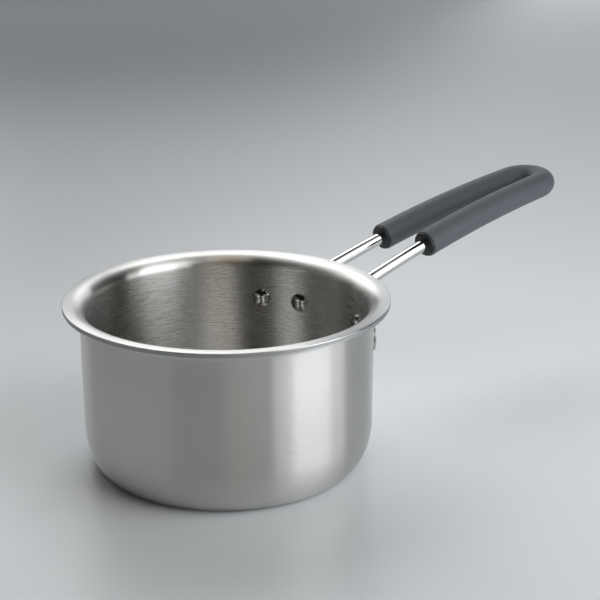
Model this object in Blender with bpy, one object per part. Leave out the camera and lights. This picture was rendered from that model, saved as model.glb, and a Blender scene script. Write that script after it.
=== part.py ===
"""A clad stainless saucepan with a riveted wire handle and a silicone grip.

Metres, +Z up. The origin is the centre of the pan's base, on the surface it
stands on, and the handle points along +X. The left leg of the handle is the
one at +Y.
"""

from math import atan2, cos, pi, radians, sin, sqrt

import bmesh
import bpy
from mathutils import Matrix, Vector

# Pan: three nested plies, drawn in one go, with the lip flared outwards.
PAN_INSIDE_DIAMETER = 0.140
PAN_HEIGHT = 0.085
STEEL_PLY = 0.0005
CORE_PLY = 0.0009
CORNER_RUN = 0.0105
CORNER_RISE = 0.0219
LIP_UNDER_RADIUS = 0.0044
LIP_FLAT = 0.0036

# Gap between touching pieces.
CLEARANCE = 0.0003

# Rivets: two in each foot of the handle, all at one level.
RIVET_BELOW_RIM = 0.024
RIVET_ALONG_WALL = 0.0239
RIVET_SPACING = 0.0232
RIVET_SHANK_DIAMETER = 0.005
RIVET_HEAD_DIAMETER = 0.0098
RIVET_HEAD_RISE = 0.0021
RIVET_TAIL_DIAMETER = 0.008
RIVET_TAIL_RISE = 0.0006
RIVET_RIM = 0.0004

# Handle: one rod, bent to a long U, its two ends flattened to feet.
ROD_DIAMETER = 0.0068
FOOT_THICKNESS = 0.0012
FOOT_HEIGHT = 0.012
LEG_HALF_SPACING = 0.0156
LOOP_RADIUS = 0.011
ROOT_BEND_RADIUS = 0.013
ARCH_LENGTH = 0.151
ROOT_ELEVATION = radians(15.8)
TIP_ELEVATION = radians(5.8)

# Grip: a silicone sleeve with a bush in each open end.
GRIP_DIAMETER = 0.01454
GRIP_END_ROUND = 0.0006
GRIP_START_LEFT = 0.0357
GRIP_START_RIGHT = 0.0409
BUSH_FLANGE_DIAMETER = 0.0133
BUSH_FLANGE = 0.001
BUSH_SPIGOT_DIAMETER = 0.010
BUSH_SPIGOT = 0.008
BUSH_EDGE = 0.0003

# Fineness of the faceted solids.
PAN_SEGMENTS = 48
CORNER_STEPS = 6
FLARE_STEPS = 4
ROD_SIDES = 16
ROD_SQUARENESS = 2.0
FOOT_SQUARENESS = 5.0
FOOT_STEPS = 6
FOOT_END_STEPS = 4
TURN_STEPS = 9
ROOT_STEPS = 7
ARCH_STEPS = 10
LOOP_STEPS = 16
RIVET_SEGMENTS = 20
DOME_STEPS = 4
CUTTER_SEGMENTS = 20
TANGENT_STEP_SHARE = 0.001
MERGE_SHARE = 0.01

# Worked out from the sizes above.
WALL = STEEL_PLY + CLEARANCE + CORE_PLY + CLEARANCE + STEEL_PLY
INSIDE_RADIUS = PAN_INSIDE_DIAMETER / 2
WALL_RADIUS = INSIDE_RADIUS + WALL
LIP_RADIUS = WALL_RADIUS + LIP_UNDER_RADIUS + LIP_FLAT
LIP_UNDERSIDE = PAN_HEIGHT - WALL
RIVET_LEVEL = PAN_HEIGHT - RIVET_BELOW_RIM
ROD_RADIUS = ROD_DIAMETER / 2
FOOT_INNER_FACE = WALL_RADIUS + CLEARANCE
ROD_ON_WALL = FOOT_INNER_FACE + ROD_RADIUS
SHANK_HOLE_RADIUS = RIVET_SHANK_DIAMETER / 2 + CLEARANCE
INNER_RIVET_ANGLE = RIVET_ALONG_WALL / WALL_RADIUS
OUTER_RIVET_ANGLE = (RIVET_ALONG_WALL + RIVET_SPACING) / WALL_RADIUS

# The leg leaves the wall here, seen from above.
LEG_ON_WALL_X = sqrt(ROD_ON_WALL ** 2 - LEG_HALF_SPACING ** 2)
LEG_ON_WALL_ANGLE = atan2(LEG_HALF_SPACING, LEG_ON_WALL_X)

# The root bend turns the leg from upright to its root elevation.
ROOT_RUN = ROOT_BEND_RADIUS * (1 - sin(ROOT_ELEVATION))
ROOT_CLIMB = ROOT_BEND_RADIUS * cos(ROOT_ELEVATION)
ARCH_RADIUS = ARCH_LENGTH / (ROOT_ELEVATION - TIP_ELEVATION)
LEG_LENGTH = ARCH_LENGTH - LOOP_RADIUS
PATH_LENGTH = 2 * LEG_LENGTH + pi * LOOP_RADIUS

# The sleeve's bore runs on the rod, and each bush's spigot in a wider socket.
GRIP_RADIUS = GRIP_DIAMETER / 2
BORE_RADIUS = ROD_RADIUS + CLEARANCE
SPIGOT_RADIUS = BUSH_SPIGOT_DIAMETER / 2
SOCKET_RADIUS = SPIGOT_RADIUS + CLEARANCE
SOCKET_DEPTH = BUSH_SPIGOT + CLEARANCE
SLEEVE_FROM_FACE = BUSH_FLANGE + CLEARANCE


def envelope_rise(x):
    """Height of the rod's upper side over the root bend's start, at x."""
    reach = ROOT_BEND_RADIUS + ROD_RADIUS + CLEARANCE
    centre_x = LEG_ON_WALL_X + ROOT_BEND_RADIUS
    bend_end_x = centre_x - reach * sin(ROOT_ELEVATION)
    if x <= bend_end_x:
        return sqrt(max(reach ** 2 - (centre_x - x) ** 2, 0))
    climb = (x - bend_end_x) * (sin(ROOT_ELEVATION) / cos(ROOT_ELEVATION))
    return reach * cos(ROOT_ELEVATION) + climb


# The rod passes close under the lip's edge, which sets where its bend starts.
LIP_EDGE_X = sqrt(LIP_RADIUS ** 2 - LEG_HALF_SPACING ** 2)
ROOT_BEND_START = LIP_UNDERSIDE - envelope_rise(LIP_EDGE_X)


def material(name, colour, metallic, roughness):
    """A plain Principled material."""
    made = bpy.data.materials.new(name)
    made.use_nodes = True
    shader = made.node_tree.nodes["Principled BSDF"]
    shader.inputs["Base Color"].default_value = (*colour, 1)
    shader.inputs["Metallic"].default_value = metallic
    shader.inputs["Roughness"].default_value = roughness
    made.diffuse_color = (*colour, 1)
    return made


def finish(bm, name, look, sharp_angle=radians(35)):
    """Turn a bmesh into a smooth-shaded object with outward faces."""
    bmesh.ops.recalc_face_normals(bm, faces=bm.faces)
    if bm.calc_volume(signed=True) < 0:
        bmesh.ops.reverse_faces(bm, faces=bm.faces)
    mesh = bpy.data.meshes.new(name)
    bm.to_mesh(mesh)
    bm.free()
    mesh.shade_smooth()
    mesh.set_sharp_from_angle(angle=sharp_angle)
    mesh.materials.append(look)
    made = bpy.data.objects.new(name, mesh)
    bpy.context.scene.collection.objects.link(made)
    return made


def turned(profile, segments):
    """A closed body turned round Z from (radius, height) points."""
    bm = bmesh.new()
    points = [bm.verts.new((radius, 0, height)) for radius, height in profile]
    edges = [bm.edges.new(pair) for pair in zip(points, points[1:])]
    if profile[0][0] or profile[-1][0]:
        edges.append(bm.edges.new((points[-1], points[0])))
    bmesh.ops.spin(bm, geom=points + edges, cent=(0, 0, 0), axis=(0, 0, 1),
                   angle=2 * pi, steps=segments, use_merge=True)
    bmesh.ops.remove_doubles(bm, verts=bm.verts, dist=CLEARANCE * MERGE_SHARE)
    return bm


def dome(radius, rise, steps):
    """Points of a shallow dome, from its rim to its middle, seen in section."""
    ball = (radius ** 2 + rise ** 2) / (2 * rise)
    half_angle = atan2(radius, ball - rise)
    angles = [half_angle * (1 - step / steps) for step in range(steps + 1)]
    return [(ball * sin(a), ball * cos(a) - ball + rise) for a in angles]


# Pan

def wall_section():
    """The outer surface in section: (radius, height, inward normal) points."""
    points = [(0, 0, 0, 1)]
    for step in range(CORNER_STEPS + 1):
        angle = -pi / 2 + pi / 2 * step / CORNER_STEPS
        across = cos(angle) / CORNER_RUN
        up = sin(angle) / CORNER_RISE
        length = sqrt(across ** 2 + up ** 2)
        points.append((WALL_RADIUS - CORNER_RUN + CORNER_RUN * cos(angle),
                       CORNER_RISE + CORNER_RISE * sin(angle),
                       -across / length, -up / length))
    centre_height = LIP_UNDERSIDE - LIP_UNDER_RADIUS
    for step in range(FLARE_STEPS + 1):
        angle = pi - pi / 2 * step / FLARE_STEPS
        points.append((WALL_RADIUS + LIP_UNDER_RADIUS + LIP_UNDER_RADIUS * cos(angle),
                       centre_height + LIP_UNDER_RADIUS * sin(angle),
                       cos(angle), sin(angle)))
    points.append((LIP_RADIUS, LIP_UNDERSIDE, 0, 1))
    return points


def ply(name, depth, thickness, look):
    """One layer of the pan, from its depth under the outer surface inwards."""
    section = wall_section()
    top = depth + thickness
    under = [(r + nr * depth, z + nz * depth) for r, z, nr, nz in section]
    over = [(r + nr * top, z + nz * top) for r, z, nr, nz in section]
    return finish(turned(under + over[::-1], PAN_SEGMENTS), name, look)


# Rivets

def wall_place(angle, height):
    """A frame whose +Z points out of the wall at this angle and height."""
    turn = Matrix.Rotation(angle, 4, "Z") @ Matrix.Rotation(pi / 2, 4, "Y")
    return Matrix.Translation((0, 0, height)) @ turn


def rivet(name, angle, look):
    """A domed head inside the pan, a shank, and a low tail on the foot."""
    flat_inside = INSIDE_RADIUS * cos(pi / PAN_SEGMENTS) - CLEARANCE
    head_radius = RIVET_HEAD_DIAMETER / 2
    tail_radius = RIVET_TAIL_DIAMETER / 2
    head_seat = sqrt(flat_inside ** 2 - head_radius ** 2)
    tail_seat = FOOT_INNER_FACE + FOOT_THICKNESS + CLEARANCE
    head_dome = dome(head_radius, RIVET_HEAD_RISE - RIVET_RIM, DOME_STEPS)
    tail_dome = dome(tail_radius, RIVET_TAIL_RISE - RIVET_RIM, DOME_STEPS)
    profile = [(r, head_seat - RIVET_RIM - rise) for r, rise in head_dome[::-1]]
    profile += [(head_radius, head_seat),
                (RIVET_SHANK_DIAMETER / 2, head_seat),
                (RIVET_SHANK_DIAMETER / 2, tail_seat),
                (tail_radius, tail_seat)]
    profile += [(r, tail_seat + RIVET_RIM + rise) for r, rise in tail_dome]
    bm = turned(profile, RIVET_SEGMENTS)
    bm.transform(wall_place(angle, RIVET_LEVEL))
    return finish(bm, name, look)


def rivet_hole_cutter(angles):
    """One guide object with a cylinder through the wall at each rivet."""
    bm = bmesh.new()
    depth = WALL + FOOT_THICKNESS + RIVET_HEAD_DIAMETER
    for angle in angles:
        middle = Matrix.Translation((0, 0, WALL_RADIUS))
        place = wall_place(angle, RIVET_LEVEL) @ middle
        bmesh.ops.create_cone(bm, cap_ends=True, segments=CUTTER_SEGMENTS,
                              radius1=SHANK_HOLE_RADIUS, radius2=SHANK_HOLE_RADIUS,
                              depth=depth, matrix=place)
    mesh = bpy.data.meshes.new("rivet_holes")
    bm.to_mesh(mesh)
    bm.free()
    cutter = bpy.data.objects.new("rivet_holes", mesh)
    cutter.hide_render = True
    cutter.display_type = "WIRE"
    bpy.context.scene.collection.objects.link(cutter)
    return cutter


def drill(piece, cutter):
    """Cut the rivet holes in a piece."""
    cut = piece.modifiers.new("rivet holes", "BOOLEAN")
    cut.operation = "DIFFERENCE"
    cut.object = cutter


# Handle

def spacing(run):
    """Half the distance between the legs, at a run from the wall."""
    whole = ROOT_RUN + LEG_LENGTH
    return LEG_HALF_SPACING + (LOOP_RADIUS - LEG_HALF_SPACING) * run / whole


def arch(distance, side_offset):
    """A point of the arched part: its distance out from the root bend."""
    elevation = ROOT_ELEVATION - distance / ARCH_RADIUS
    x = LEG_ON_WALL_X + ROOT_RUN + ARCH_RADIUS * (sin(ROOT_ELEVATION) - sin(elevation))
    z = ROOT_BEND_START + ROOT_CLIMB + ARCH_RADIUS * (cos(elevation) - cos(ROOT_ELEVATION))
    return Vector((x, side_offset, z)), Vector((sin(elevation), 0, -cos(elevation)))


def on_path(along):
    """Point and underside normal, from the left root round to the right one."""
    if along > PATH_LENGTH / 2:
        point, normal = on_path(PATH_LENGTH - along)
        return Vector((point.x, -point.y, point.z)), normal
    if along < LEG_LENGTH:
        return arch(along, spacing(ROOT_RUN + along))
    turn = (along - LEG_LENGTH) / LOOP_RADIUS
    return arch(LEG_LENGTH + LOOP_RADIUS * sin(turn), LOOP_RADIUS * cos(turn))


def path_ring(along, radius):
    """A round section square to the handle's path."""
    step = PATH_LENGTH * TANGENT_STEP_SHARE
    point, normal = on_path(along)
    tangent = on_path(along + step)[0] - on_path(along - step)[0]
    return point, tangent, normal, radius, radius, ROD_SQUARENESS


def ring_points(ring):
    """The corners of one section: round, or squarer where it is flattened."""
    point, tangent, normal, half_thickness, half_width, squareness = ring
    tangent = tangent.normalized()
    normal = (normal - tangent * normal.dot(tangent)).normalized()
    across = tangent.cross(normal)
    corners = []
    for side in range(ROD_SIDES):
        angle = 2 * pi * (side + 0.5) / ROD_SIDES
        thick = half_thickness * rounded(cos(angle), squareness)
        wide = half_width * rounded(sin(angle), squareness)
        corners.append(point + normal * thick + across * wide)
    return corners


def rounded(value, squareness):
    """A sine or cosine pushed outwards, for a section with rounded corners."""
    size = abs(value) ** (2 / squareness)
    return size if value > 0 else -size


def swept(rings, closed):
    """A body through a row of sections: capped, or closed into a sleeve."""
    bm = bmesh.new()
    loops = [[bm.verts.new(co) for co in ring_points(ring)] for ring in rings]
    following = loops[1:] + loops[:1] if closed else loops[1:]
    for loop, after in zip(loops, following):
        for side in range(ROD_SIDES):
            beside = (side + 1) % ROD_SIDES
            bm.faces.new((loop[side], loop[beside], after[beside], after[side]))
    if not closed:
        bm.faces.new(loops[0])
        bm.faces.new(loops[-1])
    return bm


def smooth_share(share):
    """Eases from 0 to 1."""
    held = min(max(share, 0), 1)
    return held * held * (3 - 2 * held)


def foot_ring(angle, height, tangent, flatness, half_height):
    """A section of the foot, which lies on the wall."""
    half_thickness = ROD_RADIUS + (FOOT_THICKNESS / 2 - ROD_RADIUS) * flatness
    squareness = ROD_SQUARENESS + (FOOT_SQUARENESS - ROD_SQUARENESS) * flatness
    radius = FOOT_INNER_FACE + half_thickness
    outwards = Vector((cos(angle), sin(angle), 0))
    point = Vector((radius * cos(angle), radius * sin(angle), height))
    normal = outwards * flatness + Vector((1, 0, 0)) * (1 - flatness)
    return point, tangent, normal, half_thickness, half_height, squareness


def foot_end():
    """The rounded free end of the left foot, from its tip inwards."""
    rings = []
    for step in range(1, FOOT_END_STEPS + 1):
        turn = pi / 2 * step / FOOT_END_STEPS
        reach = FOOT_HEIGHT / 2 * cos(turn)
        angle = OUTER_RIVET_ANGLE + reach / WALL_RADIUS
        tangent = Vector((sin(angle), -cos(angle), 0))
        rings.append(foot_ring(angle, RIVET_LEVEL, tangent, 1, FOOT_HEIGHT / 2 * sin(turn)))
    return rings


def foot_between_rivets():
    """The flat of the left foot, from its outer to its inner rivet."""
    rings = []
    for step in range(1, FOOT_STEPS):
        share = step / FOOT_STEPS
        angle = OUTER_RIVET_ANGLE + (INNER_RIVET_ANGLE - OUTER_RIVET_ANGLE) * share
        tangent = Vector((sin(angle), -cos(angle), 0))
        rings.append(foot_ring(angle, RIVET_LEVEL, tangent, 1, FOOT_HEIGHT / 2))
    return rings


def foot_turn():
    """The foot turns up the wall and grows round, past the rivet's tail."""
    sweep = INNER_RIVET_ANGLE - LEG_ON_WALL_ANGLE
    climb = ROOT_BEND_START - RIVET_LEVEL
    tail_share = (RIVET_TAIL_DIAMETER / 2 + CLEARANCE) / (sweep * WALL_RADIUS)
    rings = []
    for step in range(TURN_STEPS + 1):
        turn = pi / 2 * step / TURN_STEPS
        angle = INNER_RIVET_ANGLE - sweep * sin(turn)
        height = ROOT_BEND_START - climb * cos(turn)
        along = -sweep * WALL_RADIUS * cos(turn)
        tangent = Vector((-sin(angle) * along, cos(angle) * along, climb * sin(turn)))
        past_tail = (sin(turn) - tail_share) / (1 - tail_share)
        flatness = 1 - smooth_share(past_tail)
        half_height = ROD_RADIUS + (FOOT_HEIGHT / 2 - ROD_RADIUS) * flatness
        rings.append(foot_ring(angle, height, tangent, flatness, half_height))
    return rings


def root_bend():
    """The bend from upright on the wall to the leg's own slope."""
    rings = []
    for step in range(1, ROOT_STEPS):
        elevation = pi / 2 + (ROOT_ELEVATION - pi / 2) * step / ROOT_STEPS
        run = ROOT_BEND_RADIUS * (1 - sin(elevation))
        point = Vector((LEG_ON_WALL_X + run, spacing(run),
                        ROOT_BEND_START + ROOT_BEND_RADIUS * cos(elevation)))
        tangent = Vector((cos(elevation), 0, sin(elevation)))
        normal = Vector((sin(elevation), 0, -cos(elevation)))
        rings.append((point, tangent, normal, ROD_RADIUS, ROD_RADIUS, ROD_SQUARENESS))
    return rings


def mirrored(ring):
    """The same section on the other leg, walked the other way."""
    point, tangent, normal, half_thickness, half_width, squareness = ring
    point = Vector((point.x, -point.y, point.z))
    tangent = Vector((-tangent.x, tangent.y, -tangent.z))
    normal = Vector((normal.x, -normal.y, normal.z))
    return point, tangent, normal, half_thickness, half_width, squareness


def path_stops(start, end):
    """Places along the path: a few on each leg, more round the loop."""
    loop_start = LEG_LENGTH
    loop_end = PATH_LENGTH - LEG_LENGTH
    stops = [start + (loop_start - start) * n / ARCH_STEPS for n in range(ARCH_STEPS)]
    stops += [loop_start + (loop_end - loop_start) * n / LOOP_STEPS for n in range(LOOP_STEPS)]
    stops += [loop_end + (end - loop_end) * n / ARCH_STEPS for n in range(ARCH_STEPS + 1)]
    return stops


def handle_rod(look):
    """The rod: left foot and root, the arched U, then the right root and foot."""
    root = foot_end() + foot_between_rivets() + foot_turn() + root_bend()
    middle = [path_ring(stop, ROD_RADIUS) for stop in path_stops(0, PATH_LENGTH)]
    rings = root + middle + [mirrored(ring) for ring in root[::-1]]
    return finish(swept(rings, closed=False), "handle_rod", look)


# Grip

def grip_sleeve(look):
    """A U-shaped tube with a rounded edge and a socket at each open end."""
    start = GRIP_START_LEFT + SLEEVE_FROM_FACE
    end = PATH_LENGTH - GRIP_START_RIGHT - SLEEVE_FROM_FACE
    outside = path_stops(start + GRIP_END_ROUND, end - GRIP_END_ROUND)
    bore = path_stops(start + SOCKET_DEPTH, end - SOCKET_DEPTH)
    rings = [path_ring(start, GRIP_RADIUS - GRIP_END_ROUND)]
    rings += [path_ring(stop, GRIP_RADIUS) for stop in outside]
    rings += [path_ring(end, GRIP_RADIUS - GRIP_END_ROUND)]
    rings += [path_ring(end, SOCKET_RADIUS), path_ring(end - SOCKET_DEPTH, SOCKET_RADIUS)]
    rings += [path_ring(stop, BORE_RADIUS) for stop in bore[::-1]]
    rings += [path_ring(start + SOCKET_DEPTH, SOCKET_RADIUS), path_ring(start, SOCKET_RADIUS)]
    return finish(swept(rings, closed=True), "grip_sleeve", look)


def grip_end_bush(name, face, inwards, look):
    """A flange that closes the sleeve's end, with a spigot in its socket."""
    flange_radius = BUSH_FLANGE_DIAMETER / 2
    section = [(0, BORE_RADIUS), (0, flange_radius - BUSH_EDGE),
               (BUSH_EDGE, flange_radius), (BUSH_FLANGE, flange_radius),
               (BUSH_FLANGE, SPIGOT_RADIUS),
               (BUSH_FLANGE + BUSH_SPIGOT, SPIGOT_RADIUS),
               (BUSH_FLANGE + BUSH_SPIGOT, BORE_RADIUS)]
    rings = [path_ring(face + inwards * depth, radius) for depth, radius in section]
    return finish(swept(rings, closed=True), name, look)


def build():
    """Clear the scene and make every piece."""
    for old in list(bpy.data.objects):
        bpy.data.objects.remove(old, do_unlink=True)

    brushed_steel = material("brushed stainless steel", (0.56, 0.56, 0.55), 1, 0.32)
    polished_steel = material("polished stainless steel", (0.72, 0.72, 0.72), 1, 0.12)
    aluminium = material("aluminium core", (0.60, 0.61, 0.62), 1, 0.45)
    silicone = material("slate silicone", (0.105, 0.113, 0.127), 0, 0.55)
    black_nylon = material("black nylon", (0.012, 0.014, 0.017), 0, 0.5)

    outer = ply("pan_outer_ply", 0, STEEL_PLY, brushed_steel)
    core = ply("pan_core_ply", STEEL_PLY + CLEARANCE, CORE_PLY, aluminium)
    inner = ply("pan_inner_ply", WALL - STEEL_PLY, STEEL_PLY, brushed_steel)
    rod = handle_rod(polished_steel)

    angles = [("rivet_left_outer", OUTER_RIVET_ANGLE),
              ("rivet_left_inner", INNER_RIVET_ANGLE),
              ("rivet_right_inner", -INNER_RIVET_ANGLE),
              ("rivet_right_outer", -OUTER_RIVET_ANGLE)]
    cutter = rivet_hole_cutter([angle for _, angle in angles])
    for piece in (outer, core, inner, rod):
        drill(piece, cutter)
    for name, angle in angles:
        rivet(name, angle, polished_steel)

    grip_sleeve(silicone)
    grip_end_bush("grip_end_bush_left", GRIP_START_LEFT, 1, black_nylon)
    grip_end_bush("grip_end_bush_right", PATH_LENGTH - GRIP_START_RIGHT, -1, black_nylon)


build()
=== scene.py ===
"""A small clad stainless saucepan with a riveted wire handle, dressed for one picture.

Metres, +Z up. The origin is the centre of the pan's base, on the surface it
stands on. The handle points along +X, and its left leg is the one at +Y.
"""

from math import atan2, cos, pi, radians, sin, sqrt

import bmesh
import bpy
from mathutils import Matrix, Quaternion, Vector


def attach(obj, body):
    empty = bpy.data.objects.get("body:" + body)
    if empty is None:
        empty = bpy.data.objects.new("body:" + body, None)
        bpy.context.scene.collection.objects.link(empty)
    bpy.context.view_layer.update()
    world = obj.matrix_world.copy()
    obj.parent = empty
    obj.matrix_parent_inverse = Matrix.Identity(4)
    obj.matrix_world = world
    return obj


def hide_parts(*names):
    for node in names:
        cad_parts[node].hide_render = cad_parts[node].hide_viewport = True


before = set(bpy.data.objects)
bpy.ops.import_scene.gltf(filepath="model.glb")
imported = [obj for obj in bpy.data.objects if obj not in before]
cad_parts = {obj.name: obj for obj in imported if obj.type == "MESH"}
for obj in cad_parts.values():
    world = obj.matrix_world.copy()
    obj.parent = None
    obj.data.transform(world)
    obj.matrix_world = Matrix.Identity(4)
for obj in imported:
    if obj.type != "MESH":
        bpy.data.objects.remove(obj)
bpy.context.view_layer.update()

MM = 0.001

# Pan: two steel skins on an aluminium core, drawn in one go.
INSIDE_RADIUS = 70 * MM
PAN_HEIGHT = 85 * MM
WALL = 2.5 * MM
STEEL_SKIN = 0.5 * MM
SKIN_GAP = 0.02 * MM
CORNER_RUN = 10.5 * MM
CORNER_RISE = 21.9 * MM
LIP_UNDER_RADIUS = 4.4 * MM
LIP_FLAT = 3.6 * MM
LIP_EDGE_ROUND = 0.35 * MM

# Rivets: two in each foot of the handle, all at one level.
RIVET_LEVEL = 61 * MM
RIVET_ALONG_WALL = 23.9 * MM
RIVET_SPACING = 23.2 * MM
SHANK_RADIUS = 2.5 * MM
HEAD_RADIUS = 4.9 * MM
HEAD_RISE = 2.1 * MM
HEAD_RIM = 0.35 * MM
TAIL_RADIUS = 4.0 * MM
TAIL_RISE = 0.35 * MM
TAIL_RIM = 0.1 * MM

# Handle: one rod, bent to a long U, its two ends flattened to feet.
ROD_RADIUS = 3.4 * MM
FOOT_THICKNESS = 1.2 * MM
FOOT_HEIGHT = 12 * MM
FOOT_GAP = 0.05 * MM
LEG_HALF_SPACING = 15.6 * MM
LOOP_RADIUS = 11 * MM
ROOT_BEND_RADIUS = 13 * MM
ROD_BESIDE_WALL = 0.3 * MM
ROD_BELOW_LIP = 0.3 * MM
ARCH_LENGTH = 151 * MM
ROOT_ELEVATION = radians(15.8)
TIP_ELEVATION = radians(5.8)

# Grip: a silicone sleeve with a bush in each open end.
GRIP_RADIUS = 7.27 * MM
GRIP_EDGE_ROUND = 0.7 * MM
GRIP_START_LEFT = 35.7 * MM
GRIP_START_RIGHT = 40.9 * MM
BUSH_RADIUS = 6.65 * MM
BUSH_FLANGE = 1.0 * MM
BUSH_EDGE_ROUND = 0.3 * MM
BUSH_SPIGOT_RADIUS = 5.0 * MM
BUSH_SPIGOT = 8.0 * MM
SLEEVE_GAP = 0.05 * MM

# Fineness of the meshes.
PAN_SEGMENTS = 256
CORNER_STEPS = 24
FLARE_STEPS = 14
EDGE_STEPS = 4
ROD_SIDES = 40
RIVET_SEGMENTS = 48
DOME_STEPS = 12
SHARP_ANGLE = radians(40)
MERGE = 0.001 * MM

# Brushing of the steel sheet: the length and width of one stroke, how deep it is,
# how far it strays from the pan's round, and the share by which it changes the gloss.
# The straying has its own pattern, longer and narrower than a stroke by these factors.
OUTSIDE_BRUSHING = {"stroke": 25 * MM, "line": 0.5 * MM, "depth": 0.003 * MM,
                    "stray": radians(0.15), "unevenness": 0.015}
INSIDE_BRUSHING = {"stroke": 8 * MM, "line": 0.3 * MM, "depth": 0.012 * MM,
                   "stray": radians(1.2), "unevenness": 0.2}
BRUSHING_STRENGTH = 0.9
STRAY_STROKE = 1.4
STRAY_LINE = 0.9
BRUSHING_LEFT_ON_LIP = 0.03
SCRATCH_LENGTH = 10 * MM
SCRATCH_WIDTH = 0.3 * MM
SCRATCH_DEPTH = 0.01 * MM

# Noise runs mostly between these two values. Only its highest peaks make a scratch.
NOISE_LOW = 0.3
NOISE_HIGH = 0.7
SCRATCH_PEAK = 0.81
SCRATCH_TOP = 0.9

# The picture was taken from here.
PICTURE_PIXELS = 600
FOCAL_PIXELS = 1300
SENSOR_WIDTH = 36
VIEW_AZIMUTH = radians(40.6)
VIEW_PITCH = radians(18.56)
VIEW_DISTANCE = 0.6417
VIEW_TARGET = (0.02726, -0.02336, 0.08275)

# Softboxes: name, place and target in the picture's axes (right, away, up), width,
# height, brightness, colour and, if it is turned on its own axis, the angle.
LAMPS = (
    ("main softbox, low end", (-0.022, 0.199, 0.216), (0.535, -0.122, -0.550),
     0.30, 0.15, 0.8, "#FFFFFF"),
    ("main softbox, high end", (0.317, -0.170, 0.618), (0.0, 0.01, 0.18),
     0.60, 0.40, 0.6, "#FFFFFF"),
    ("high back softbox", (-0.12, 0.62, 0.95), (0, 0, 0.05), 0.70, 0.45, 2.5, "#FFFFFF"),
    ("right front softbox", (0.725, -0.338, 0.70), (0, 0, 0.05), 0.74, 0.60, 1.6, "#FFFFFF"),
    ("left back softbox", (-0.55, 0.55, 0.78), (0, 0, 0.05), 0.80, 0.80, 0.3, "#FFFFFF"),
    ("camera side softbox", (0.0, -0.38, 1.03), (0, 0, 0.05), 0.45, 0.50, 0.9, "#FFF0DA"),
    ("right front card", (0.685, -0.305, 0.22), (0, 0, 0.05), 0.46, 0.40, 3.2, "#F8FAFF"),
    ("card's near flank", (0.50, -0.56, 0.22), (0, 0, 0.05), 0.19, 0.40, 1.1, "#FFFFFF"),
    ("card's far flank", (0.75, 0.0, 0.22), (0, 0, 0.05), 0.19, 0.40, 1.8, "#FFFFFF"),
    ("camera side card", (0.25, -0.97, 0.26), (0, 0, 0.05), 0.50, 0.48, 0.25, "#FFF3E2"),
    ("left card", (-0.86, -0.27, 0.21), (0, 0, 0.05), 1.30, 0.38, 0.15, "#FFFFFF"),
    ("back card", (0.43, 2.6, 1.03), (0, 0, 0.05), 3.00, 1.45, 0.92, "#F6FAFF", radians(38)),
    ("left back card", (-1.45, 2.2, 1.35), (0, 0, 0.05), 1.90, 1.50, 0.9, "#FFFFFF"),
)

FLOOR_HALF_SIZE = 12
STUDIO_AIR = 0.01

# Worked out from the sizes above.
WALL_RADIUS = INSIDE_RADIUS + WALL
LIP_UNDERSIDE = PAN_HEIGHT - WALL
LIP_RADIUS = WALL_RADIUS + LIP_UNDER_RADIUS + LIP_FLAT
CORE = WALL - 2 * STEEL_SKIN - 2 * SKIN_GAP
FLARE_START = LIP_UNDERSIDE - LIP_UNDER_RADIUS
BRUSHED_BELOW = FLARE_START - 1 * MM
BUFFED_ABOVE = FLARE_START + 3 * MM
INNER_RIVET_ANGLE = RIVET_ALONG_WALL / WALL_RADIUS
OUTER_RIVET_ANGLE = (RIVET_ALONG_WALL + RIVET_SPACING) / WALL_RADIUS
FOOT_INNER_FACE = WALL_RADIUS + FOOT_GAP
ROD_ON_WALL = WALL_RADIUS + ROD_BESIDE_WALL + ROD_RADIUS
LEG_ON_WALL_X = sqrt(ROD_ON_WALL ** 2 - LEG_HALF_SPACING ** 2)
LEG_ON_WALL_ANGLE = atan2(LEG_HALF_SPACING, LEG_ON_WALL_X)
ROOT_RUN = ROOT_BEND_RADIUS * (1 - sin(ROOT_ELEVATION))
ROOT_CLIMB = ROOT_BEND_RADIUS * cos(ROOT_ELEVATION)
ARCH_RADIUS = ARCH_LENGTH / (ROOT_ELEVATION - TIP_ELEVATION)
LEG_LENGTH = ARCH_LENGTH - LOOP_RADIUS
PATH_LENGTH = 2 * LEG_LENGTH + pi * LOOP_RADIUS


def envelope_rise(x):
    """Height of the rod's upper side over the root bend's start, at x."""
    reach = ROOT_BEND_RADIUS + ROD_RADIUS + ROD_BELOW_LIP
    centre_x = LEG_ON_WALL_X + ROOT_BEND_RADIUS
    bend_end_x = centre_x - reach * sin(ROOT_ELEVATION)
    if x <= bend_end_x:
        return sqrt(max(reach ** 2 - (centre_x - x) ** 2, 0))
    climb = (x - bend_end_x) * (sin(ROOT_ELEVATION) / cos(ROOT_ELEVATION))
    return reach * cos(ROOT_ELEVATION) + climb


LIP_EDGE_X = sqrt(LIP_RADIUS ** 2 - LEG_HALF_SPACING ** 2)
ROOT_BEND_START = LIP_UNDERSIDE - envelope_rise(LIP_EDGE_X)


# Materials

def linear(hex_colour):
    """An sRGB hex colour as linear values."""
    parts = [int(hex_colour[i:i + 2], 16) / 255 for i in (1, 3, 5)]
    curved = [p / 12.92 if p <= 0.04045 else ((p + 0.055) / 1.055) ** 2.4 for p in parts]
    return (*curved, 1)


def add(tree, kind, settings=None, links=None):
    """Adds a node: settings are properties or input values, links are sockets by input."""
    made = tree.nodes.new(kind)
    for key, value in (settings or {}).items():
        if hasattr(made, str(key)):
            setattr(made, key, value)
        else:
            made.inputs[key].default_value = value
    for key, socket in (links or {}).items():
        tree.links.new(socket, made.inputs[key])
    return made


def principled(name, settings):
    """A material with its shader's own sockets set."""
    made = bpy.data.materials.new(name)
    made.use_nodes = True
    shader = made.node_tree.nodes["Principled BSDF"]
    for key, value in settings.items():
        shader.inputs[key].default_value = value
    return made, made.node_tree, shader


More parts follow.
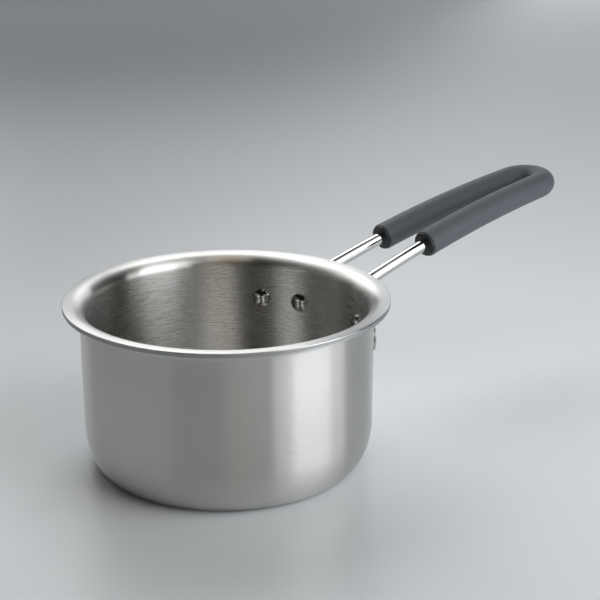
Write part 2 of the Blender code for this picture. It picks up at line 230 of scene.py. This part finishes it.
def round_the_axis(tree, around, across):
    """A place whose patterns run round the pan's axis, on its wall, corner and base.

    around and across are the sizes of one feature, along the brushing and over it.
    """
    place = add(tree, "ShaderNodeTexCoord").outputs["Object"]
    parts = add(tree, "ShaderNodeSeparateXYZ", links={0: place}).outputs
    flat = add(tree, "ShaderNodeCombineXYZ", links={"X": parts["X"], "Y": parts["Y"]})
    radius = add(tree, "ShaderNodeVectorMath", {"operation": "LENGTH"}, {0: flat.outputs[0]})
    along = add(tree, "ShaderNodeMath", {"operation": "ADD"},
                {0: radius.outputs["Value"], 1: parts["Z"]})
    place = add(tree, "ShaderNodeCombineXYZ",
                links={"X": parts["X"], "Y": parts["Y"], "Z": along.outputs[0]})
    scale = (1 / around, 1 / around, 1 / across)
    scaled = add(tree, "ShaderNodeVectorMath", {"operation": "MULTIPLY", 1: scale},
                 {0: place.outputs[0]})
    return scaled.outputs[0], parts["Z"]


def spread(tree, value, low, high):
    """A noise value spread from low to high."""
    return add(tree, "ShaderNodeMapRange",
               {"From Min": NOISE_LOW, "From Max": NOISE_HIGH, "To Min": low, "To Max": high},
               {"Value": value}).outputs[0]


def brushed_stainless(name, colour, roughness, stroke, line, depth, stray, unevenness):
    """Stainless sheet brushed round the pan with a belt.

    The brushing spreads each reflection up and down into a soft upright band with
    fairly sharp sides. Close by it shows as fine strokes round the pan. They aren't
    quite parallel, which frays a band's sides, and there are a few short scratches.
    The lip is smoother. Real strokes are finer than these, and wouldn't show.
    """
    made, tree, shader = principled(name, {
        "Base Color": linear(colour), "Metallic": 1, "Roughness": roughness,
        "Anisotropic": 1, "Anisotropic Rotation": 0.25})
    strokes_at, height = round_the_axis(tree, stroke, line)
    strokes = add(tree, "ShaderNodeTexNoise", {"Scale": 1, "Detail": 2, "Roughness": 0.55},
                  {"Vector": strokes_at}).outputs["Fac"]
    scratches_at, _ = round_the_axis(tree, SCRATCH_LENGTH, SCRATCH_WIDTH)
    scratches = add(tree, "ShaderNodeTexNoise", {"Scale": 1, "Detail": 0},
                    {"Vector": scratches_at}).outputs["Fac"]
    scratches = add(tree, "ShaderNodeMapRange",
                    {"From Min": SCRATCH_PEAK, "From Max": SCRATCH_TOP, "To Min": 0, "To Max": 1},
                    {"Value": scratches}).outputs[0]
    brushed = add(tree, "ShaderNodeMapRange",
                  {"From Min": BUFFED_ABOVE, "From Max": BRUSHED_BELOW,
                   "To Min": BRUSHING_LEFT_ON_LIP, "To Max": 1}, {"Value": height}).outputs[0]

    strength = add(tree, "ShaderNodeMath", {"operation": "MULTIPLY", 1: BRUSHING_STRENGTH},
                   {0: brushed}).outputs[0]
    relief = add(tree, "ShaderNodeBump", {"Distance": depth},
                 {"Height": strokes, "Strength": strength}).outputs[0]
    relief = add(tree, "ShaderNodeBump", {"Distance": SCRATCH_DEPTH, "invert": True},
                 {"Height": scratches, "Normal": relief, "Strength": strength}).outputs[0]
    tree.links.new(relief, shader.inputs["Normal"])

    round_pan = add(tree, "ShaderNodeTangent", {"direction_type": "RADIAL", "axis": "Z"})
    skewed_at, _ = round_the_axis(tree, stroke * STRAY_STROKE, line * STRAY_LINE)
    skew = add(tree, "ShaderNodeTexNoise", {"Scale": 1, "Detail": 1},
               {"Vector": skewed_at}).outputs["Fac"]
    skew = add(tree, "ShaderNodeMath", {"operation": "MULTIPLY"},
               {0: spread(tree, skew, -stray, stray), 1: brushed})
    facing = add(tree, "ShaderNodeNewGeometry").outputs["Normal"]
    tangent = add(tree, "ShaderNodeVectorRotate", {"rotation_type": "AXIS_ANGLE"},
                  {"Vector": round_pan.outputs[0], "Axis": facing, "Angle": skew.outputs[0]})
    tree.links.new(tangent.outputs[0], shader.inputs["Tangent"])

    swing = roughness * unevenness
    uneven = add(tree, "ShaderNodeMath", {"operation": "MULTIPLY_ADD", 2: roughness},
                 {0: spread(tree, strokes, -swing, swing), 1: brushed})
    tree.links.new(uneven.outputs[0], shader.inputs["Roughness"])
    return made


def rolled_aluminium():
    """Sheet aluminium, seen only as a thin dull line in the lip's edge."""
    made, tree, shader = principled("rolled aluminium", {
        "Base Color": linear("#A9ABAD"), "Metallic": 1, "Roughness": 0.45})
    where, _ = round_the_axis(tree, 10 * MM, 0.3 * MM)
    grain = add(tree, "ShaderNodeTexNoise", {"Scale": 1, "Detail": 2}, {"Vector": where})
    relief = add(tree, "ShaderNodeBump", {"Strength": 0.2, "Distance": 0.03 * MM},
                 {"Height": grain.outputs["Fac"]})
    tree.links.new(relief.outputs[0], shader.inputs["Normal"])
    return made


def polished_stainless(name, roughness):
    """Bar and rivet steel, mirror polished: crisp light and dark stripes, faintly hazy."""
    made, tree, shader = principled(name, {
        "Base Color": linear("#CCCCCA"), "Metallic": 1, "Roughness": roughness})
    place = add(tree, "ShaderNodeTexCoord").outputs["Object"]
    haze = add(tree, "ShaderNodeTexNoise", {"Scale": 1 / (4 * MM), "Detail": 4},
               {"Vector": place}).outputs["Fac"]
    hazy = spread(tree, haze, roughness * 0.8, roughness * 1.3)
    tree.links.new(hazy, shader.inputs["Roughness"])
    relief = add(tree, "ShaderNodeBump", {"Strength": 0.04, "Distance": 0.05 * MM},
                 {"Height": haze})
    tree.links.new(relief.outputs[0], shader.inputs["Normal"])
    return made


def slate_silicone():
    """Moulded silicone rubber: matte, with a soft wide sheen and a fine spark-eroded skin."""
    made, tree, shader = principled("slate silicone", {
        "Base Color": linear("#575C62"), "Roughness": 0.55, "IOR": 1.43,
        "Sheen Weight": 0.08, "Sheen Roughness": 0.5})
    place = add(tree, "ShaderNodeTexCoord").outputs["Object"]
    cloud = add(tree, "ShaderNodeTexNoise", {"Scale": 1 / (9 * MM), "Detail": 3},
                {"Vector": place}).outputs["Fac"]
    shade = add(tree, "ShaderNodeMix", {"data_type": "RGBA"}, {"Factor": cloud})
    shade.inputs["A"].default_value = linear("#52575D")
    shade.inputs["B"].default_value = linear("#5C6167")
    tree.links.new(shade.outputs["Result"], shader.inputs["Base Color"])
    skin = add(tree, "ShaderNodeTexNoise", {"Scale": 1 / (0.5 * MM), "Detail": 2},
               {"Vector": place}).outputs["Fac"]
    tree.links.new(spread(tree, cloud, 0.5, 0.6), shader.inputs["Roughness"])
    relief = add(tree, "ShaderNodeBump", {"Strength": 0.25, "Distance": 0.05 * MM},
                 {"Height": skin})
    tree.links.new(relief.outputs[0], shader.inputs["Normal"])
    return made


def black_nylon():
    """Moulded nylon: near black, satin, with a faint grain."""
    made, tree, shader = principled("black nylon", {
        "Base Color": linear("#1A1C1F"), "Roughness": 0.45, "IOR": 1.53})
    place = add(tree, "ShaderNodeTexCoord").outputs["Object"]
    grain = add(tree, "ShaderNodeTexNoise", {"Scale": 1 / (0.6 * MM), "Detail": 3},
                {"Vector": place}).outputs["Fac"]
    relief = add(tree, "ShaderNodeBump", {"Strength": 0.3, "Distance": 0.05 * MM},
                 {"Height": grain})
    tree.links.new(relief.outputs[0], shader.inputs["Normal"])
    return made


# Meshes

def to_piece(bm, name, look, stands_for):
    """A finished mesh as a piece that rides on the pan and stands for its solid."""
    bmesh.ops.recalc_face_normals(bm, faces=bm.faces)
    if bm.calc_volume(signed=True) < 0:
        bmesh.ops.reverse_faces(bm, faces=bm.faces)
    mesh = bpy.data.meshes.new(name)
    bm.to_mesh(mesh)
    bm.free()
    mesh.shade_smooth()
    mesh.set_sharp_from_angle(angle=SHARP_ANGLE)
    mesh.materials.append(look)
    piece = bpy.data.objects.new(name, mesh)
    bpy.context.scene.collection.objects.link(piece)
    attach(piece, "root")
    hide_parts(stands_for)
    return piece


def turned(profile, segments):
    """A closed body turned round Z from (radius, height) points."""
    bm = bmesh.new()
    points = [bm.verts.new((radius, 0, height)) for radius, height in profile]
    edges = [bm.edges.new(pair) for pair in zip(points, points[1:])]
    if profile[0][0] or profile[-1][0]:
        edges.append(bm.edges.new((points[-1], points[0])))
    bmesh.ops.spin(bm, geom=points + edges, cent=(0, 0, 0), axis=(0, 0, 1),
                   angle=2 * pi, steps=segments, use_merge=True)
    bmesh.ops.remove_doubles(bm, verts=bm.verts, dist=MERGE)
    return bm


def quarter(centre, radius, start, steps=EDGE_STEPS):
    """Points of a rounded edge: a quarter turn anticlockwise from the start angle."""
    angles = [start + pi / 2 * step / steps for step in range(steps + 1)]
    return [(centre[0] + radius * cos(a), centre[1] + radius * sin(a)) for a in angles]


# Pan

def wall_section():
    """The outer surface in section: (radius, height, inward normal) points."""
    points = [(0, 0, 0, 1)]
    for step in range(CORNER_STEPS + 1):
        angle = -pi / 2 + pi / 2 * step / CORNER_STEPS
        across = cos(angle) / CORNER_RUN
        up = sin(angle) / CORNER_RISE
        length = sqrt(across ** 2 + up ** 2)
        points.append((WALL_RADIUS - CORNER_RUN + CORNER_RUN * cos(angle),
                       CORNER_RISE + CORNER_RISE * sin(angle),
                       -across / length, -up / length))
    for height in (RIVET_LEVEL - HEAD_RADIUS, RIVET_LEVEL + HEAD_RADIUS):
        points.append((WALL_RADIUS, height, -1, 0))
    for step in range(FLARE_STEPS + 1):
        angle = pi - pi / 2 * step / FLARE_STEPS
        points.append((WALL_RADIUS + LIP_UNDER_RADIUS + LIP_UNDER_RADIUS * cos(angle),
                       FLARE_START + LIP_UNDER_RADIUS * sin(angle),
                       cos(angle), sin(angle)))
    return points


def skin(depth, thickness, edge):
    """One layer of the pan: its underside, its edge at the lip, then its upper side."""
    section = wall_section()
    top = depth + thickness
    under = [(r + nr * depth, z + nz * depth) for r, z, nr, nz in section]
    over = [(r + nr * top, z + nz * top) for r, z, nr, nz in section]
    return turned(under + edge + over[::-1], PAN_SEGMENTS)


def drilled(bm, angles, name):
    """The layer of the pan, or the rod, with a hole for each rivet's shank."""
    cutters = bmesh.new()
    for angle in angles:
        place = wall_place(angle, RIVET_LEVEL) @ Matrix.Translation((0, 0, WALL_RADIUS))
        bmesh.ops.create_cone(cutters, cap_ends=True, segments=RIVET_SEGMENTS,
                              radius1=SHANK_RADIUS, radius2=SHANK_RADIUS,
                              depth=4 * WALL, matrix=place)
    parts = []
    for shape, part in ((bm, name), (cutters, name + "_holes")):
        mesh = bpy.data.meshes.new(part)
        shape.to_mesh(mesh)
        shape.free()
        parts.append(bpy.data.objects.new(part, mesh))
        bpy.context.scene.collection.objects.link(parts[-1])
    body, holes = parts
    cut = body.modifiers.new("rivet holes", "BOOLEAN")
    cut.operation = "DIFFERENCE"
    cut.object = holes
    seen = body.evaluated_get(bpy.context.evaluated_depsgraph_get())
    made = bmesh.new()
    made.from_mesh(seen.to_mesh())
    seen.to_mesh_clear()
    bmesh.ops.remove_doubles(made, verts=made.verts, dist=MERGE)
    bmesh.ops.dissolve_degenerate(made, edges=made.edges, dist=MERGE)
    for part in parts:
        bpy.data.objects.remove(part, do_unlink=True)
    return made


def pan(angles):
    """The two steel skins and the core between them."""
    outer_edge = quarter((LIP_RADIUS - LIP_EDGE_ROUND, LIP_UNDERSIDE + LIP_EDGE_ROUND),
                         LIP_EDGE_ROUND, -pi / 2)
    outer_edge.append((LIP_RADIUS, LIP_UNDERSIDE + STEEL_SKIN))
    core_from = STEEL_SKIN + SKIN_GAP
    core_edge = [(LIP_RADIUS - SKIN_GAP, LIP_UNDERSIDE + core_from),
                 (LIP_RADIUS - SKIN_GAP, LIP_UNDERSIDE + core_from + CORE)]
    inner_from = WALL - STEEL_SKIN
    inner_edge = [(LIP_RADIUS, LIP_UNDERSIDE + inner_from)]
    inner_edge += quarter((LIP_RADIUS - LIP_EDGE_ROUND, PAN_HEIGHT - LIP_EDGE_ROUND),
                          LIP_EDGE_ROUND, 0)

    outside = brushed_stainless("brushed stainless outside", "#D1D0CD", 0.27,
                                **OUTSIDE_BRUSHING)
    inside = brushed_stainless("brushed stainless inside", "#D2D1CE", 0.28,
                               **INSIDE_BRUSHING)
    to_piece(drilled(skin(0, STEEL_SKIN, outer_edge), angles, "outer"),
             "pan_outer_skin", outside, "pan_outer_ply")
    to_piece(drilled(skin(core_from, CORE, core_edge), angles, "core"),
             "pan_core", rolled_aluminium(), "pan_core_ply")
    to_piece(drilled(skin(inner_from, STEEL_SKIN, inner_edge), angles, "inner"),
             "pan_inner_skin", inside, "pan_inner_ply")


# Rivets

def wall_place(angle, height):
    """A frame whose +Z points out of the wall at this angle and height."""
    turn = Matrix.Rotation(angle, 4, "Z") @ Matrix.Rotation(pi / 2, 4, "Y")
    return Matrix.Translation((0, 0, height)) @ turn


def dome(radius, rise):
    """Points of a shallow dome, from its rim to its middle, seen in section."""
    ball = (radius ** 2 + rise ** 2) / (2 * rise)
    half_angle = atan2(radius, ball - rise)
    angles = [half_angle * (1 - step / DOME_STEPS) for step in range(DOME_STEPS + 1)]
    return [(ball * sin(a), ball * cos(a) - ball + rise) for a in angles]


def rivet(name, angle, look):
    """A polished domed head inside the pan, a shank, and a low tail on the foot."""
    head_seat = sqrt(INSIDE_RADIUS ** 2 - HEAD_RADIUS ** 2) - SKIN_GAP
    tail_seat = FOOT_INNER_FACE + FOOT_THICKNESS + SKIN_GAP
    head = dome(HEAD_RADIUS, HEAD_RISE - HEAD_RIM)
    tail = dome(TAIL_RADIUS, TAIL_RISE - TAIL_RIM)
    profile = [(r, head_seat - HEAD_RIM - rise) for r, rise in head[::-1]]
    profile += [(HEAD_RADIUS, head_seat), (SHANK_RADIUS - SKIN_GAP, head_seat),
                (SHANK_RADIUS - SKIN_GAP, tail_seat), (TAIL_RADIUS, tail_seat)]
    profile += [(r, tail_seat + TAIL_RIM + rise) for r, rise in tail]
    bm = turned(profile, RIVET_SEGMENTS)
    bm.transform(wall_place(angle, RIVET_LEVEL))
    to_piece(bm, name.replace("rivet", "polished_rivet"), look, name)


# Handle

def spacing(run):
    """Half the distance between the legs, at a run from the wall."""
    return LEG_HALF_SPACING + (LOOP_RADIUS - LEG_HALF_SPACING) * run / (ROOT_RUN + LEG_LENGTH)


def arch(distance, side_offset):
    """A point of the arched part, and the direction of its underside."""
    elevation = ROOT_ELEVATION - distance / ARCH_RADIUS
    x = LEG_ON_WALL_X + ROOT_RUN + ARCH_RADIUS * (sin(ROOT_ELEVATION) - sin(elevation))
    z = ROOT_BEND_START + ROOT_CLIMB + ARCH_RADIUS * (cos(elevation) - cos(ROOT_ELEVATION))
    return Vector((x, side_offset, z)), Vector((sin(elevation), 0, -cos(elevation)))


def on_path(along):
    """Point and underside normal, from the left root round to the right one."""
    if along > PATH_LENGTH / 2:
        point, normal = on_path(PATH_LENGTH - along)
        return Vector((point.x, -point.y, point.z)), normal
    if along < LEG_LENGTH:
        return arch(along, spacing(ROOT_RUN + along))
    turn = (along - LEG_LENGTH) / LOOP_RADIUS
    return arch(LEG_LENGTH + LOOP_RADIUS * sin(turn), LOOP_RADIUS * cos(turn))


def path_ring(along, radius):
    """A round section square to the handle's path."""
    step = 0.1 * MM
    point, normal = on_path(along)
    tangent = on_path(along + step)[0] - on_path(along - step)[0]
    return point, tangent, normal, radius, radius, 2


def rounded(value, squareness):
    """A sine or cosine pushed outwards, for a section with rounded corners."""
    size = abs(value) ** (2 / squareness)
    return size if value > 0 else -size


def add_ring(bm, ring):
    """The edges of one section: a circle, or squarer where the rod is flattened."""
    point, tangent, normal, half_thickness, half_width, squareness = ring
    tangent = tangent.normalized()
    normal = (normal - tangent * normal.dot(tangent)).normalized()
    across = tangent.cross(normal)
    made = bmesh.ops.create_circle(bm, segments=ROD_SIDES, radius=1)["verts"]
    edges = {edge for vert in made for edge in vert.link_edges}
    for vert in made:
        thick = half_thickness * rounded(vert.co.x, squareness)
        wide = half_width * rounded(vert.co.y, squareness)
        vert.co = point + normal * thick + across * wide
    return list(edges)


def swept(rings, closed):
    """A body through a row of sections: capped, or closed into a sleeve."""
    bm = bmesh.new()
    loops = [add_ring(bm, ring) for ring in rings]
    following = loops[1:] + loops[:1] if closed else loops[1:]
    for loop, after in zip(loops, following):
        bmesh.ops.bridge_loops(bm, edges=loop + after)
    if not closed:
        for loop in (loops[0], loops[-1]):
            bmesh.ops.contextual_create(bm, geom=loop)
    return bm


def smooth_share(share):
    """Eases from 0 to 1."""
    held = min(max(share, 0), 1)
    return held * held * (3 - 2 * held)


def foot_ring(angle, height, tangent, flatness, half_height):
    """A section of the foot, which lies on the wall."""
    half_thickness = ROD_RADIUS + (FOOT_THICKNESS / 2 - ROD_RADIUS) * flatness
    inner_face = WALL_RADIUS + ROD_BESIDE_WALL + (FOOT_GAP - ROD_BESIDE_WALL) * flatness
    radius = inner_face + half_thickness
    outwards = Vector((cos(angle), sin(angle), 0))
    point = Vector((radius * cos(angle), radius * sin(angle), height))
    normal = outwards * flatness + Vector((1, 0, 0)) * (1 - flatness)
    return point, tangent, normal, half_thickness, half_height, 2 + 4 * flatness


def foot():
    """The left foot: its rounded end, its flat, then its turn up the wall."""
    rings = []
    end_steps = 8
    for step in range(1, end_steps + 1):
        turn = pi / 2 * step / end_steps
        angle = OUTER_RIVET_ANGLE + FOOT_HEIGHT / 2 * cos(turn) / WALL_RADIUS
        tangent = Vector((sin(angle), -cos(angle), 0))
        half_height = FOOT_HEIGHT / 2 * sin(turn)
        rings.append(foot_ring(angle, RIVET_LEVEL, tangent, 1, half_height))
    flat_steps = 14
    for step in range(1, flat_steps):
        share = step / flat_steps
        angle = OUTER_RIVET_ANGLE + (INNER_RIVET_ANGLE - OUTER_RIVET_ANGLE) * share
        tangent = Vector((sin(angle), -cos(angle), 0))
        rings.append(foot_ring(angle, RIVET_LEVEL, tangent, 1, FOOT_HEIGHT / 2))
    sweep = INNER_RIVET_ANGLE - LEG_ON_WALL_ANGLE
    climb = ROOT_BEND_START - RIVET_LEVEL
    tail_share = TAIL_RADIUS / (sweep * WALL_RADIUS)
    turn_steps = 24
    for step in range(turn_steps + 1):
        turn = pi / 2 * step / turn_steps
        angle = INNER_RIVET_ANGLE - sweep * sin(turn)
        height = ROOT_BEND_START - climb * cos(turn)
        along = -sweep * WALL_RADIUS * cos(turn)
        tangent = Vector((-sin(angle) * along, cos(angle) * along, climb * sin(turn)))
        flatness = 1 - smooth_share((sin(turn) - tail_share) / (1 - tail_share))
        half_height = ROD_RADIUS + (FOOT_HEIGHT / 2 - ROD_RADIUS) * flatness
        rings.append(foot_ring(angle, height, tangent, flatness, half_height))
    return rings


def root_bend():
    """The bend from upright on the wall to the leg's own slope."""
    rings = []
    steps = 18
    for step in range(1, steps):
        elevation = pi / 2 + (ROOT_ELEVATION - pi / 2) * step / steps
        run = ROOT_BEND_RADIUS * (1 - sin(elevation))
        point = Vector((LEG_ON_WALL_X + run, spacing(run),
                        ROOT_BEND_START + ROOT_BEND_RADIUS * cos(elevation)))
        tangent = Vector((cos(elevation), 0, sin(elevation)))
        normal = Vector((sin(elevation), 0, -cos(elevation)))
        rings.append((point, tangent, normal, ROD_RADIUS, ROD_RADIUS, 2))
    return rings


def mirrored(ring):
    """The same section on the other leg, walked the other way."""
    point, tangent, normal, half_thickness, half_width, squareness = ring
    point = Vector((point.x, -point.y, point.z))
    tangent = Vector((-tangent.x, tangent.y, -tangent.z))
    normal = Vector((normal.x, -normal.y, normal.z))
    return point, tangent, normal, half_thickness, half_width, squareness


def path_stops(start, end, leg_steps=36, loop_steps=48):
    """Places along the path: even on each leg, and closer round the loop."""
    loop_start = LEG_LENGTH
    loop_end = PATH_LENGTH - LEG_LENGTH
    stops = [start + (loop_start - start) * n / leg_steps for n in range(leg_steps)]
    stops += [loop_start + (loop_end - loop_start) * n / loop_steps for n in range(loop_steps)]
    stops += [loop_end + (end - loop_end) * n / leg_steps for n in range(leg_steps + 1)]
    return stops


def handle(look, angles):
    """The rod: left foot and root, the arched U, then the right root and foot, drilled."""
    root = foot() + root_bend()
    middle = [path_ring(stop, ROD_RADIUS) for stop in path_stops(0, PATH_LENGTH)]
    rings = root + middle + [mirrored(ring) for ring in root[::-1]]
    to_piece(drilled(swept(rings, closed=False), angles, "rod"), "wire_handle", look,
             "handle_rod")


# Grip

def grip(look):
    """The sleeve: rounded at both ends, with a bore for the rod."""
    start = GRIP_START_LEFT + BUSH_FLANGE + SLEEVE_GAP
    end = PATH_LENGTH - GRIP_START_RIGHT - BUSH_FLANGE - SLEEVE_GAP
    edge = GRIP_EDGE_ROUND
    bore = ROD_RADIUS + SLEEVE_GAP
    socket = BUSH_SPIGOT_RADIUS + SLEEVE_GAP
    socket_depth = BUSH_SPIGOT + SLEEVE_GAP
    angles = [pi / 2 * n / EDGE_STEPS for n in range(EDGE_STEPS)]
    rings = [path_ring(start + edge * (1 - sin(a)), GRIP_RADIUS - edge * (1 - cos(a)))
             for a in angles[::-1]]
    rings = [path_ring(start, GRIP_RADIUS - edge)] + rings
    rings += [path_ring(stop, GRIP_RADIUS) for stop in path_stops(start + edge, end - edge)[1:-1]]
    rings += [path_ring(end - edge * (1 - sin(a)), GRIP_RADIUS - edge * (1 - cos(a)))
              for a in angles]
    rings += [path_ring(end, GRIP_RADIUS - edge), path_ring(end, socket),
              path_ring(end - socket_depth, socket)]
    rings += [path_ring(stop, bore)
              for stop in path_stops(start + socket_depth, end - socket_depth, 12, 24)[::-1]]
    rings += [path_ring(start + socket_depth, socket), path_ring(start, socket)]
    to_piece(swept(rings, closed=True), "silicone_grip", look, "grip_sleeve")


def grip_end_bush(side, face, inwards, look):
    """A flange that closes the sleeve's end, with a spigot in its socket.

    It is turned straight, because the rod hardly bends over the bush's length.
    """
    bore = ROD_RADIUS + SLEEVE_GAP
    edge = BUSH_EDGE_ROUND
    profile = [(bore, 0)]
    profile += [(BUSH_RADIUS - edge * (1 - sin(a)), edge * (1 - cos(a)))
                for a in (pi / 2 * n / EDGE_STEPS for n in range(EDGE_STEPS + 1))]
    profile += [(BUSH_RADIUS, BUSH_FLANGE), (BUSH_SPIGOT_RADIUS, BUSH_FLANGE),
                (BUSH_SPIGOT_RADIUS, BUSH_FLANGE + BUSH_SPIGOT),
                (bore, BUSH_FLANGE + BUSH_SPIGOT)]
    point = on_path(face)[0]
    inner_end = on_path(face + inwards * (BUSH_FLANGE + BUSH_SPIGOT))[0]
    turn = (inner_end - point).to_track_quat("Z", "Y").to_matrix().to_4x4()
    bm = turned(profile, ROD_SIDES)
    bm.transform(Matrix.Translation(point) @ turn)
    to_piece(bm, "end_bush_" + side, look, "grip_end_bush_" + side)


# Studio

def in_picture(right, away, up):
    """A place given along the picture's own axes: to the right, away and up."""
    return Matrix.Rotation(-VIEW_AZIMUTH, 3, "Z") @ Vector((right, away, up))


def aim(thing, place, target, roll=0):
    """Puts a camera or light at a place, looking at a target, and turns it on its axis."""
    thing.location = place
    facing = (target - place).to_track_quat("-Z", "Y")
    thing.rotation_euler = (facing @ Quaternion((0, 0, 1), roll)).to_euler()


def camera():
    """The camera at the picture's angle."""
    data = bpy.data.cameras.new("camera")
    data.sensor_width = SENSOR_WIDTH
    data.lens = SENSOR_WIDTH * FOCAL_PIXELS / PICTURE_PIXELS
    thing = bpy.data.objects.new("camera", data)
    bpy.context.scene.collection.objects.link(thing)
    target = Vector(VIEW_TARGET)
    back = in_picture(0, -cos(VIEW_PITCH), sin(VIEW_PITCH))
    aim(thing, target + back * VIEW_DISTANCE, target)
    bpy.context.scene.camera = thing


def soft_box(name, place, target, width, height, brightness, colour, roll=0):
    """A softbox that looks this bright, 1 being white; its place is in the picture's axes."""
    data = bpy.data.lights.new(name, "AREA")
    data.shape = "RECTANGLE"
    data.size = width
    data.size_y = height
    data.energy = brightness * pi * width * height
    data.color = linear(colour)[:3]
    thing = bpy.data.objects.new(name, data)
    thing.visible_camera = False
    bpy.context.scene.collection.objects.link(thing)
    aim(thing, in_picture(*place), in_picture(*target), roll)


def studio():
    """A plain pale floor, satin painted so that it mirrors faintly, under soft lights."""
    bm = bmesh.new()
    bmesh.ops.create_grid(bm, x_segments=1, y_segments=1, size=FLOOR_HALF_SIZE)
    mesh = bpy.data.meshes.new("floor")
    bm.to_mesh(mesh)
    bm.free()
    paint = principled("satin floor paint", {
        "Base Color": linear("#EAEFF2"), "Roughness": 0.32})[0]
    mesh.materials.append(paint)
    floor = bpy.data.objects.new("floor", mesh)
    bpy.context.scene.collection.objects.link(floor)

    world = bpy.data.worlds.new("studio air")
    world.use_nodes = True
    background = world.node_tree.nodes["Background"]
    background.inputs["Strength"].default_value = STUDIO_AIR
    background.inputs["Color"].default_value = linear("#FFFFFF")
    bpy.context.scene.world = world
    for lamp in LAMPS:
        soft_box(*lamp)


def build():
    """Every piece, then the studio."""
    bpy.context.scene.view_settings.view_transform = "Standard"
    camera()
    rivets = {"rivet_left_outer": OUTER_RIVET_ANGLE, "rivet_left_inner": INNER_RIVET_ANGLE,
              "rivet_right_inner": -INNER_RIVET_ANGLE, "rivet_right_outer": -OUTER_RIVET_ANGLE}
    angles = list(rivets.values())
    pan(angles)
    polish = polished_stainless("polished rivet steel", 0.06)
    for name, angle in rivets.items():
        rivet(name, angle, polish)
    handle(polished_stainless("polished bar steel", 0.05), angles)
    grip(slate_silicone())
    nylon = black_nylon()
    grip_end_bush("left", GRIP_START_LEFT, 1, nylon)
    grip_end_bush("right", PATH_LENGTH - GRIP_START_RIGHT, -1, nylon)
    studio()


build()
bpy.context.view_layer.update()
